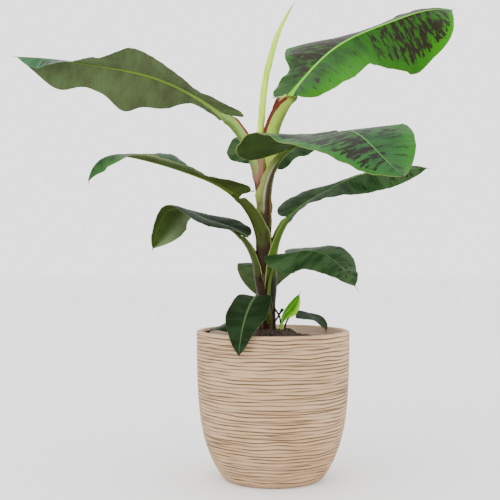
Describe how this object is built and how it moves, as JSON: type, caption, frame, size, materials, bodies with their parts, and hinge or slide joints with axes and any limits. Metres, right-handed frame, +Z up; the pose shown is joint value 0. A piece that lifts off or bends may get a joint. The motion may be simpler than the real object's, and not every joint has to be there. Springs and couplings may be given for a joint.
{
  "type": "potted banana plant",
  "caption": "Young banana plant with broad arching leaves on a leaning stem of clasping sheaths, in a round pot with wavy ribs.",
  "frame": {"origin": "centre of the pot's flat underside", "axes": "+Z up along the pot, +X to the right and +Y to the back as the plant faces its front"},
  "size_m": [1.0503, 0.9137, 1.1387],
  "materials": {
    "pot": "matt sandy clay with wavy horizontal ribs",
    "soil": "dark crumbly potting soil",
    "stem": "satin maroon and olive leaf sheaths",
    "stalk": "satin green leaf stalk",
    "leaf": "satin leaf with fine side veins",
    "young_leaf": "satin lime green young leaf"
  },
  "bodies": {
    "root": {"pot": "pot", "soil": "soil", "pseudostem": "stem", "spear_leaf": "young_leaf", "pup_stem": "stalk", "sprout": "young_leaf", "petiole_upper_right": "stalk", "petiole_upper_left": "stalk", "petiole_back_right": "stalk", "petiole_front_right": "stalk", "petiole_middle_left": "stalk", "petiole_lower_left": "stalk", "petiole_middle_right": "stalk", "petiole_lower_right": "stalk", "petiole_back_low": "stalk", "petiole_front_low": "stalk", "petiole_small_left": "stalk", "petiole_small_right": "stalk", "leaf_upper_right": "leaf", "leaf_upper_left": "leaf", "leaf_back_right": "leaf", "leaf_front_right": "leaf", "leaf_middle_left": "leaf", "leaf_lower_left": "leaf", "leaf_middle_right": "leaf", "leaf_lower_right": "leaf", "leaf_back_low": "leaf", "leaf_front_low": "leaf", "leaf_small_left": "leaf", "leaf_small_right": "leaf", "leaf_pup": "young_leaf"}
  },
  "joints": []
}
